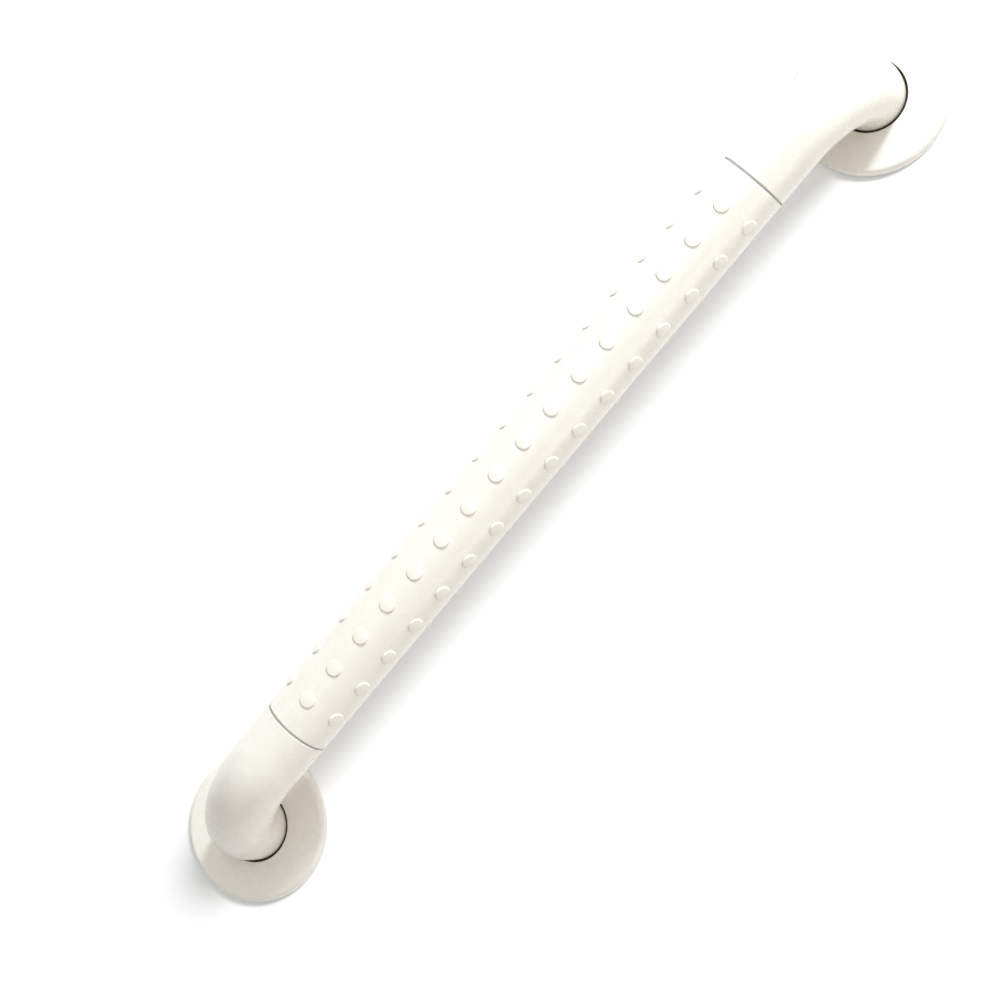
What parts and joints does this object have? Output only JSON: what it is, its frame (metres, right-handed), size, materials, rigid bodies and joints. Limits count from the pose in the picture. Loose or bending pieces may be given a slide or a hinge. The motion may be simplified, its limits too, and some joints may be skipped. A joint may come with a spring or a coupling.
{
  "type": "grab bar",
  "caption": "Straight wall grab bar: plastic grip tube with raised buttons over a steel core, swept elbows, and round push-fit covers over screwed wall plates.",
  "frame": {"origin": "on the wall plane, midway between the two wall plates", "axes": "+X along the bar, +Z out of the wall, -Z onto the wall"},
  "size_m": [0.558, 0.078, 0.0714],
  "materials": {
    "ivory_plastic": "glossy moulded nylon, warm white",
    "grey_rubber": "matt grey rubber",
    "black_rubber": "matt black rubber",
    "steel": "brushed stainless steel",
    "screw_steel": "bright turned steel",
    "brass": "turned brass"
  },
  "bodies": {
    "root": {"grip_sleeve": "ivory_plastic", "core_tube": "steel", "elbow_left": "ivory_plastic", "seam_seal_left": "grey_rubber", "cover_left": "ivory_plastic", "cover_gasket_left": "black_rubber", "base_plate_left": "steel", "threaded_insert_left": "brass", "base_bolt_left": "screw_steel", "lock_washer_left": "screw_steel", "set_screw_left": "screw_steel", "elbow_right": "ivory_plastic", "seam_seal_right": "grey_rubber", "cover_right": "ivory_plastic", "cover_gasket_right": "black_rubber", "base_plate_right": "steel", "threaded_insert_right": "brass", "base_bolt_right": "screw_steel", "lock_washer_right": "screw_steel", "set_screw_right": "screw_steel"}
  },
  "joints": []
}
